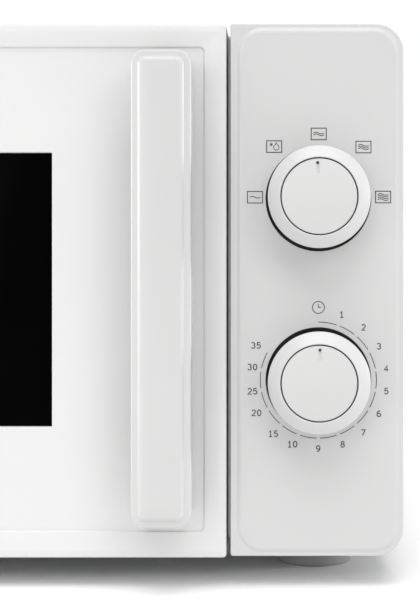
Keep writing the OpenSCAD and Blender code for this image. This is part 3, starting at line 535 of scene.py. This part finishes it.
def loft(rings):
    """A closed skin through outlines of equal length, capped at both ends."""
    shape = bmesh.new()
    rows = [[shape.verts.new(p) for p in ring] for ring in rings]
    for low, high in zip(rows, rows[1:]):
        for i in range(len(low)):
            j = (i + 1) % len(low)
            shape.faces.new((low[i], low[j], high[j], high[i]))
    shape.faces.new(rows[0])
    shape.faces.new(rows[-1])
    return shape


def block(x0, x1, y0, y1, z0, z1, r=0.2 * MM):
    """A straight bar between two depths, with small corner radii in the front view."""
    return loft([outline((x0, x1, z0, z1, r, r), y, 2) for y in (y0, y1)])


def forward(across, up, height, centre):
    """Height points out of the front, towards -Y."""
    return (centre[0] + across, centre[1] - height, centre[2] + up)


def carve(solid, tools, operation="DIFFERENCE"):
    """Cuts the tools out of the solid, or joins them to it, and returns the result."""
    def stand_in(shape):
        mesh = bpy.data.meshes.new("stand_in")
        bmesh.ops.recalc_face_normals(shape, faces=shape.faces)
        shape.to_mesh(mesh)
        shape.free()
        made = bpy.data.objects.new("stand_in", mesh)
        bpy.context.scene.collection.objects.link(made)
        return made

    base = stand_in(solid)
    used = [base] + [stand_in(tool) for tool in tools]
    for tool in used[1:]:
        step = base.modifiers.new("carve", "BOOLEAN")
        step.operation, step.solver, step.object = operation, "EXACT", tool
    result = bmesh.new()
    result.from_object(base, bpy.context.evaluated_depsgraph_get())
    for made in used:
        mesh = made.data
        bpy.data.objects.remove(made)
        bpy.data.meshes.remove(mesh)
    return result


panel_w = 79.4 * MM
left_border_in = 1.3 * MM
side_x = panel_hi.x - panel_w
panel_rect = (side_x, panel_hi.x, panel_lo.z, panel_hi.z, 1.2 * MM, 12.8 * MM)
plate_y = panel_hi.y
flat_rect = (side_x + left_border_in, *panel_rect[1:])
edge_r = 0.5 * MM
border_w = 4.4 * MM
border_d = 0.85 * MM
flat_r = 9.2 * MM
side_section = arc(edge_r, -border_d - edge_r, edge_r, 180, 92, 6)
# The step turns up over the first arc and levels out over the second.
step_turn = 30
step_section = arc(1.2 * MM, -border_d + 2.4 * MM, 2.4 * MM, -90, -90 + step_turn, 5)
step_section += arc(border_w, -4 * MM, 4 * MM, 90 + step_turn, 90, 7)
panel_rings = [outline(panel_rect, plate_y, 12)]
panel_rings += [outline(inset(panel_rect, d), face_y - h, 12) for d, h in side_section]
panel_rings += [outline(inset(flat_rect, d, flat_r + border_w - d, flat_r + border_w - d), face_y - h, 12)
                for d, h in step_section]
panel_shape = loft(panel_rings)
wall, front_wall = 2.5 * MM, 4 * MM
panel_hollow = loft([outline(inset(panel_rect, wall), y, 12)
                     for y in (face_y + front_wall, plate_y + 1 * MM)])
knob_centres = {name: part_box(name) for name in ("power_knob", "timer_knob")}
knob_centres = {name: (lo + hi) / 2 for name, (lo, hi) in knob_centres.items()}
hole_r = 24.15 * MM
lip = 0.25 * MM
hole_tool = [(0, 1 * MM), (hole_r + 1.6 * lip, 1 * MM), (hole_r + lip, 0),
             *arc(hole_r + lip, -lip, lip, 90, 180)[1:], (hole_r, -9 * MM), (0, -9 * MM)]
panel_shape = carve(panel_shape, [panel_hollow] + [
    lathe(hole_tool, (c.x, face_y, c.z), forward, 128) for c in knob_centres.values()])
# A thin tongue behind the gap beside the door.
tongue = block(panel_lo.x, side_x + 1 * MM, face_y + 6.5 * MM, face_y + 10 * MM,
               panel_lo.z + 8 * MM, panel_hi.z - 6 * MM)
panel_shape = carve(panel_shape, [tongue], "UNION")
white_plastic = painted("white_plastic", (0.5, 0.5, 0.498), 0.35, 2600.0, 0.012 * MM, 0.12)
make_piece("control_panel_moulding", panel_shape, white_plastic, "chassis", "white_plastic",
           "control_panel")


# ---- Print on the control panel ----
# Grey pad-printed ink, a few hundredths of a millimetre thick: five power signs round the upper
# knob, and a clock sign, dashes and minutes round the timer.
ink_t = 0.04 * MM
fine_line, box_line, bold_line = 0.38 * MM, 0.45 * MM, 0.5 * MM


def ribbon(points, width, closed=False, proud=0.0):
    """A flat printed line of one width through points of the front view, standing proud by a hair."""
    spots = [Vector(p) for p in points]
    rows = []
    for i, spot in enumerate(spots):
        ways = []
        if closed or i > 0:
            ways.append((spot - spots[i - 1]).normalized())
        if closed or i < len(spots) - 1:
            ways.append((spots[(i + 1) % len(spots)] - spot).normalized())
        along = sum(ways, Vector((0, 0))).normalized()
        half = width / 2 / max(ways[0].dot(along), 0.5)
        off = Vector((-along.y, along.x)) * half
        rows.append([(x, y, z) for x, z in (spot + off, spot - off)
                     for y in (face_y, face_y - ink_t - proud)])
    shape = bmesh.new()
    rows = [[shape.verts.new(corner) for corner in row] for row in rows]
    pairs = list(zip(rows, rows[1:])) + ([(rows[-1], rows[0])] if closed else [])
    for a, b in pairs:
        for i, j in ((0, 2), (2, 3), (3, 1), (1, 0)):
            shape.faces.new((a[i], a[j], b[j], b[i]))
    if not closed:
        for end in (rows[0], rows[-1]):
            shape.faces.new((end[0], end[2], end[3], end[1]))
    return shape


def wave_sign(x, z, count):
    """A box with a number of waves in it."""
    w, h = 6.9 * MM, 5.3 * MM
    half_wave, wave_h, wave_pitch = 2.45 * MM, 0.38 * MM, 0.8 * MM
    shapes = [ribbon([(x - w / 2, z - h / 2), (x + w / 2, z - h / 2), (x + w / 2, z + h / 2),
                      (x - w / 2, z + h / 2)], box_line, closed=True)]
    for k in range(count):
        middle = z + (k - (count - 1) / 2) * wave_pitch
        shapes.append(ribbon(
            [(x + half_wave * (t / 8 - 1), middle + wave_h * math.sin(math.pi * t / 8))
             for t in range(17)], fine_line))
    return shapes


def defrost_sign(x, z):
    """A box with a snow crystal and a drop of water."""
    shapes = wave_sign(x, z, 0)
    cx, cz, arm = x - 1.35 * MM, z + 0.95 * MM, 0.8 * MM
    for k, angle in enumerate((90, 30, -30)):
        c, s = math.cos(math.radians(angle)), math.sin(math.radians(angle))
        shapes.append(ribbon([(cx - arm * c, cz - arm * s), (cx + arm * c, cz + arm * s)],
                             0.32 * MM, proud=k * ink_t / 4))
    drop_x, drop_z, drop_r = x + 0.95 * MM, z - 0.35 * MM, 1.25 * MM
    drop = arc(drop_x, drop_z, drop_r, -250, 70, 16) + [(drop_x, z + 2 * MM)]
    shapes.append(ribbon(drop, 0.34 * MM, closed=True))
    return shapes


ink, tree, shader = look("print_ink", (0.045, 0.045, 0.046), 0.55)
effect = place_group(tree, grain, Grains_per_metre=6000.0, Patches_per_metre=60.0)
tree.links.new(blend_colour(tree, effect["Patches"], (0.035, 0.035, 0.036), (0.055, 0.055, 0.057)),
               shader.inputs["Base Color"])
raise_surface(tree, shader, effect["Height"], 0.01 * MM)

power = knob_centres["power_knob"]
# Low, defrost, medium, high and full power stand clockwise round the knob from its left.
signs = (wave_sign(power.x - 29.05 * MM, power.z + 0.6 * MM, 1)
         + defrost_sign(power.x - 20.25 * MM, power.z + 23.8 * MM)
         + wave_sign(power.x + 0.15 * MM, power.z + 29.6 * MM, 2)
         + wave_sign(power.x + 20.65 * MM, power.z + 23.6 * MM, 3)
         + wave_sign(power.x + 29.65 * MM, power.z + 0.7 * MM, 4))
make_piece("power_signs", joined(signs), ink, "chassis", "white_plastic")

timer = knob_centres["timer_knob"]
clock_z = timer.z + 33.3 * MM
clock_r = 2.75 * MM
hands = [(timer.x, clock_z + 1.5 * MM), (timer.x, clock_z), (timer.x + 1.2 * MM, clock_z)]
clock = [ribbon(arc(timer.x, clock_z, clock_r, 0, 351, 39), 0.42 * MM, closed=True),
         ribbon(hands, fine_line)]
make_piece("clock_sign", joined(clock), ink, "chassis", "white_plastic")

dash_r, dash_pitch, half_gap = 26.6 * MM, 20, 1.7
timer_travel = 300


def dash(start, end):
    """A printed arc round the timer between two angles in degrees, clockwise from the top."""
    return ribbon(arc(timer.x, timer.z, dash_r, 90 - start, 90 - end, 6), fine_line)


make_piece("timer_dashes", joined([dash(start + half_gap if start else 0, start + dash_pitch - half_gap)
                                   for start in range(0, timer_travel, dash_pitch)]),
           ink, "chassis", "white_plastic")


def bow(x, z, rx, rz, start, end, steps=10):
    """Points of part of an oval; angles in degrees."""
    turns = [math.radians(start + (end - start) * i / steps) for i in range(steps + 1)]
    return [(x + rx * math.cos(a), z + rz * math.sin(a)) for a in turns]


# Each figure is drawn with strokes in a box one wide and one high; True closes the stroke.
six = [(bow(0.5, 0.3, 0.46, 0.3, 0, 342, 18), True),
       ([(0.04, 0.34), (0.08, 0.6), (0.24, 0.86), (0.5, 1), (0.84, 0.93)], False)]
strokes = {
    "0": [(bow(0.5, 0.5, 0.46, 0.5, 0, 342, 18), True)],
    "1": [([(0.16, 0.78), (0.52, 1), (0.52, 0.06)], False), ([(0.14, 0), (0.9, 0)], False)],
    "2": [(bow(0.5, 0.7, 0.44, 0.3, 165, -25) + [(0.04, 0), (0.98, 0)], False)],
    "3": [(bow(0.46, 0.74, 0.42, 0.26, 150, -75), False), (bow(0.46, 0.27, 0.48, 0.27, 70, -150), False)],
    "4": [([(0.7, 0), (0.7, 1), (0.02, 0.3), (1, 0.3)], False)],
    "5": [([(0.9, 1), (0.2, 1), (0.12, 0.55)] + bow(0.46, 0.32, 0.5, 0.32, 118, -150), False)],
    "6": six,
    "7": [([(0.02, 1), (0.98, 1), (0.36, 0)], False)],
    "8": [(bow(0.5, 0.76, 0.38, 0.24, 0, 342, 18), True), (bow(0.5, 0.27, 0.46, 0.27, 0, 342, 18), True)],
    "9": [([(1 - x, 1 - z) for x, z in points], closed) for points, closed in six],
}
figure_w, figure_h, figure_pitch = 1.75 * MM, 2.6 * MM, 2.5 * MM
# Where the middle of each number stands from the timer's axis, in millimetres.
number_places = {
    1: (10.7, 30.0), 2: (20.7, 24.2), 3: (27.7, 15.5), 4: (31.1, 5.3), 5: (31.1, -5.0),
    6: (27.7, -15.4), 7: (20.5, -24.1), 8: (11.1, -29.4), 9: (-0.1, -31.4), 10: (-11.9, -29.4),
    15: (-20.7, -24.6), 20: (-28.4, -15.0), 25: (-30.2, -5.1), 30: (-30.3, 6.0), 35: (-28.6, 15.9),
}
figures = []
for number, (x, z) in number_places.items():
    text = str(number)
    for place_in_text, figure in enumerate(text):
        x0 = timer.x + x * MM - figure_w / 2 + (place_in_text - (len(text) - 1) / 2) * figure_pitch
        z0 = timer.z + z * MM - figure_h / 2
        for k, (points, closed) in enumerate(strokes[figure]):
            figures.append(ribbon([(x0 + figure_w * u, z0 + figure_h * v) for u, v in points],
                                  bold_line, closed, k * ink_t / 4))
make_piece("timer_numbers", joined(figures), ink, "chassis", "white_plastic")


# ---- Knobs ----
# Two equal knobs: a broad white ring and a slightly domed white cap. A thin black disc at the
# bottom of the groove round the cap is painted shade, so the groove shows as a fine dark line.
# Each pushes onto a shaft. A pointer is sunk into the cap.
cap_r = 16.8 * MM
groove = 0.55 * MM
knob_out = face_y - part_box("power_knob_cap")[0].y
ring_profile = [
    (0, -5 * MM), (6.5 * MM, -5 * MM), (7 * MM, -4.5 * MM), (7 * MM, 6 * MM), (18.6 * MM, 6 * MM),
    (19.8 * MM, -4.6 * MM), (20.2 * MM, -5 * MM), (21.2 * MM, -5 * MM), (22.94 * MM, 15.8 * MM),
    *arc(22 * MM, 16.3 * MM, 1 * MM, -10, 62, 6),
    (21.3 * MM, 18.15 * MM), (20 * MM, 19.12 * MM), (18.8 * MM, 19.9 * MM), (18 * MM, 20.32 * MM),
    *arc(cap_r + groove + 0.35 * MM, 20.15 * MM, 0.35 * MM, 62, 180, 5),
    (cap_r + groove, knob_out - 5 * MM), (0, knob_out - 5 * MM),
]
dome = 1.3 * MM
pointer_r = 14.9 * MM
cap_foot = knob_out - 4.8 * MM
cap_profile = [(0, cap_foot), (cap_r, cap_foot),
               *arc(cap_r - 0.35 * MM, knob_out - dome - 0.35 * MM, 0.35 * MM, 0, 80, 4)]
cap_profile += [(cap_r * i / 10, knob_out - dome * (i / 10) ** 2) for i in (9, 7, 5, 3, 1, 0)]


def pointer_tool(centre, lean):
    """A rounded slot whose floor slopes up from the rim inwards, leaning by an angle from upright."""
    half_w = 0.62 * MM
    outer, inner = pointer_r, 10.6 * MM
    top = arc(0, outer, half_w, 0, 180, 12) + arc(0, inner, half_w, 180, 360, 12)
    c, s = math.cos(lean), math.sin(lean)
    shape = bmesh.new()
    floor_row, upper = [], []
    for x, z in top:
        deep = 0.3 * MM + 0.5 * MM * max(0, (z - inner) / (outer - inner))
        surface = knob_out - dome * (z / cap_r) ** 2
        floor_row.append(shape.verts.new(forward(x * c - z * s, z * c + x * s, surface - deep, centre)))
        upper.append(shape.verts.new(forward(x * c - z * s, z * c + x * s, knob_out + 1 * MM, centre)))
    for i in range(len(top)):
        j = (i + 1) % len(top)
        shape.faces.new((floor_row[i], floor_row[j], upper[j], upper[i]))
    shape.faces.new(floor_row)
    shape.faces.new(upper)
    return shape


def dot_tool(centre, lean):
    """The round pit at the pointer's outer end."""
    pit = (centre[0] - pointer_r * math.sin(lean), centre[1], centre[2] + pointer_r * math.cos(lean))
    profile = [(0, knob_out - 4 * MM), (0.62 * MM, knob_out - 3.9 * MM),
               (0.74 * MM, knob_out - dome), (0.74 * MM, knob_out + 1 * MM), (0, knob_out + 1 * MM)]
    return lathe(profile, pit, forward, 24)


ring_plastic = painted("ring_plastic", (0.52, 0.52, 0.518), 0.35, 2600.0, 0.012 * MM, 0.1)
cap_plastic = painted("cap_plastic", (0.505, 0.505, 0.502), 0.4, 2600.0, 0.012 * MM, 0.1)
for name, centre in knob_centres.items():
    seat = (centre.x, face_y, centre.z)
    lean = math.radians(3 if name == "power_knob" else -1)
    make_piece(name + "_ring", lathe(ring_profile, seat, forward, 128), ring_plastic,
               name, "white_plastic", name)
    # Painted shade: a thin black disc laid on the floor of the groove between ring and cap, so the groove
    # reads dark.
    groove_shade_r = cap_r + groove - 0.02 * MM
    groove_shade_disc = [(0, knob_out - 4.98 * MM), (groove_shade_r, knob_out - 4.98 * MM),
            (groove_shade_r, knob_out - 4.82 * MM), (0, knob_out - 4.82 * MM)]
    make_piece(name + "_core", lathe(groove_shade_disc, seat, forward, 128), black_plastic, name, "white_plastic")
    cap_shape = carve(lathe(cap_profile, seat, forward, 128),
                      [pointer_tool(seat, lean), dot_tool(seat, lean)])
    make_piece(name + "_face", cap_shape, cap_plastic, name, "cap_plastic", name + "_cap")


# ---- Door frame ----
# A white moulding with a rounded rim and a set-back middle. The window is cut through it, and
# the back is hollow for the steel inner panel. The hinge pins enter the left edge top and bottom.
door_lo, door_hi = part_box("door_frame")
glass_lo, glass_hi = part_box("door_glass")
hinge = Vector(next(j for j in frame["joints"] if j["name"] == "door_hinge")["pos_m"])
door_rect = (door_lo.x, door_hi.x, door_lo.z, door_hi.z, 12.8 * MM, 1.6 * MM)
field = (door_lo.x + 10.3 * MM, door_hi.x - 10.2 * MM, door_lo.z + 12 * MM, door_hi.z - 10.4 * MM,
         2 * MM, 2 * MM)
set_back = 1.6 * MM
rim_r = 0.8 * MM
rim_fall = 0.35 * MM
inner_fall = 0.7 * MM
root_r = 0.25 * MM
# Over the rounded rim to its crest, then over a small edge and down into the field.
rim_section = [*arc(rim_r, -rim_fall - rim_r, rim_r, 180, 96, 6), (2.4 * MM, -0.1 * MM), (4 * MM, 0)]
field_section = [*arc(-edge_r, -inner_fall - edge_r, edge_r, 90, 0),
                 *arc(0.1 * MM + root_r, root_r - set_back, root_r, 180, 270, 3)]
rings = [outline(door_rect, door_hi.y, 12)]
rings += [outline(inset(door_rect, d), face_y - h, 12) for d, h in rim_section]
rings += [outline(inset(field, d), face_y - h, 12) for d, h in field_section]
door_shape = loft(rings)

window = (glass_lo.x + 5 * MM, glass_hi.x - 5 * MM, glass_lo.z + 5 * MM, glass_hi.z - 5 * MM,
          0.4 * MM, 0.4 * MM)
field_y = face_y + set_back
bevel = 0.45 * MM
window_section = [(-1.6 * bevel, 0.6 * bevel), *arc(-bevel, -bevel, bevel, 90, 0, 4)]
window_tool = loft([outline(inset(window, d), field_y - h) for d, h in window_section]
                   + [outline(window, glass_lo.y + 1 * MM)])
hinge_side, door_wall = 14 * MM, 4 * MM
hollow_tool = block(door_lo.x + hinge_side, door_hi.x - door_wall, glass_lo.y, door_hi.y + 2 * MM,
                    door_lo.z + door_wall, door_hi.z - door_wall, 1 * MM)
# The back left corner is rounded about the hinge axis, so that it clears the case as it swings.
back_r = door_hi.y - hinge.y
corner_tool = bmesh.new()
behind = door_hi.y + 2 * MM
sweep = arc(hinge.x, hinge.y, back_r, 90, 180, 12)
sweep += [(door_lo.x - 4 * MM, hinge.y), (door_lo.x - 4 * MM, behind), (hinge.x, behind)]
levels = [[corner_tool.verts.new((x, y, z)) for x, y in sweep]
          for z in (door_lo.z - 2 * MM, door_hi.z + 2 * MM)]
for i in range(len(sweep)):
    j = (i + 1) % len(sweep)
    corner_tool.faces.new((levels[0][i], levels[0][j], levels[1][j], levels[1][i]))
corner_tool.faces.new(levels[0])
corner_tool.faces.new(levels[1])

# Each bracket's leaf enters a slot, its plate lies in a shallow rebate, and its pin fills a bore.
slot_clear, slot_h, rebate_h, bore_r = 0.5 * MM, 2.5 * MM, 5 * MM, 2.55 * MM
bore_from, bore_to = 1.5 * MM, 11 * MM
tools = [window_tool, hollow_tool, corner_tool]
for bracket, pin_side in (("hinge_bracket_upper", -1), ("hinge_bracket_lower", 1)):
    low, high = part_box(bracket)
    leaf_z = high.z if pin_side < 0 else low.z
    z0, z1 = sorted((leaf_z - pin_side * slot_clear, leaf_z + pin_side * slot_h))
    tools.append(block(door_lo.x - 2 * MM, hinge.x + 4.6 * MM, hinge.y - 6.5 * MM, behind, z0, z1))
    z0, z1 = sorted((leaf_z - pin_side * 1 * MM, leaf_z + pin_side * rebate_h))
    tools.append(block(hinge.x - 5 * MM, hinge.x + 16 * MM, door_hi.y - 1.2 * MM, behind, z0, z1))
    z0, z1 = sorted((leaf_z + pin_side * bore_from, leaf_z + pin_side * bore_to))
    tools.append(lathe([(0, z0), (bore_r, z0), (bore_r, z1), (0, z1)],
                       (hinge.x, hinge.y, 0), upright, 32))
# Painted light: the door's white plastic is lighter than the panel's, standing in for the extra light the
# door catches.
door_plastic_painted_lighter = painted("door_plastic_painted_lighter", (0.6, 0.6, 0.598), 0.35, 2600.0, 0.012 * MM, 0.12)
make_piece("door_moulding", carve(door_shape, tools), door_plastic_painted_lighter, "door", "white_plastic",
           "door_frame")


# ---- Door handle ----
# One white moulding: an upright bar with a rounded border and a flat face, on two end posts that
# are screwed to the door from inside.
bar_lo, bar_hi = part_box("door_handle")
bar_corner, bar_t = 6.5 * MM, 12 * MM
bar = (bar_lo.x, bar_hi.x, bar_lo.z, bar_hi.z, bar_corner, bar_corner)
bar_back = bar_lo.y + bar_t
soft = 1.5 * MM
handle_rings = [outline(inset(bar, d), bar_back - h, 10) for d, h in arc(soft, soft, soft, 270, 180)]
# From the side, over a small edge to a sloping border, up a step, and over a slightly crowned face.
handle_section = [
    *arc(1.1 * MM, -3 * MM, 1.1 * MM, 180, 92, 8), (2.9 * MM, -1.8 * MM),
    *arc(5.4 * MM, -2.8 * MM, 2.5 * MM, 150, 97, 8),
    (6 * MM, -0.22 * MM), (7.2 * MM, -0.13 * MM), (8.6 * MM, -0.06 * MM), (10.4 * MM, -0.015 * MM),
    (12.4 * MM, 0),
]
half_bar = (bar_hi.x - bar_lo.x) / 2
for d, h in handle_section:
    corner = min(max(bar_corner - d, 2.6 * MM), 0.9 * (half_bar - d))
    handle_rings.append(outline(inset(bar, d, corner, corner), bar_lo.y - h, 10))
post_l, post_in, post_corner = 29.5 * MM, 1.5 * MM, 4 * MM
end_in = 1.2 * MM
posts = []
for z in (bar_lo.z + end_in, bar_hi.z - end_in - post_l):
    post = (bar_lo.x + post_in, bar_hi.x - post_in, z, z + post_l, post_corner, post_corner)
    posts.append(loft([outline(post, field_y, 8), outline(post, bar_back - 1.5 * MM, 8),
                       outline(inset(post, 0.5 * MM), bar_back - 3 * MM, 8)]))
make_piece("door_handle_moulding", carve(loft(handle_rings), posts, "UNION"), white_plastic,
           "door", "white_plastic", "door_handle")


# ---- Latch spring ----
# A coil of plated wire that stands on the latch bar inside the door and holds it down.
# Its upper end bears on the door. The real spring shortens as the latch bar rises; this coil is built at one
# length and rides on the door.
spring_lo, spring_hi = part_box("latch_spring")
spring_axis = (spring_lo + spring_hi) / 2
spring_l = spring_hi.z - spring_lo.z
wire_r = 0.35 * MM
coil_r = (spring_hi.x - spring_lo.x) / 2 - wire_r
turns, steps_per_turn = 4, 20
steps = turns * steps_per_turn
coil = bmesh.new()
wire_rows = []
for i in range(steps + 1):
    a = math.tau * i / steps_per_turn
    z = spring_lo.z + wire_r + (spring_l - 2 * wire_r) * i / steps
    wire_rows.append([coil.verts.new((spring_axis.x + (coil_r + u) * math.cos(a),
                                      spring_axis.y + (coil_r + u) * math.sin(a), z + v))
                      for u, v in arc(0, 0, wire_r, 0, 315, 7)])
for low, high in zip(wire_rows, wire_rows[1:]):
    for i in range(len(low)):
        j = (i + 1) % len(low)
        coil.faces.new((low[i], low[j], high[j], high[i]))
coil.faces.new(wire_rows[0])
coil.faces.new(wire_rows[-1])
spring = make_piece("latch_spring_coil", coil, plated_steel, "door", "fastener_steel", "latch_spring")
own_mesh(spring)
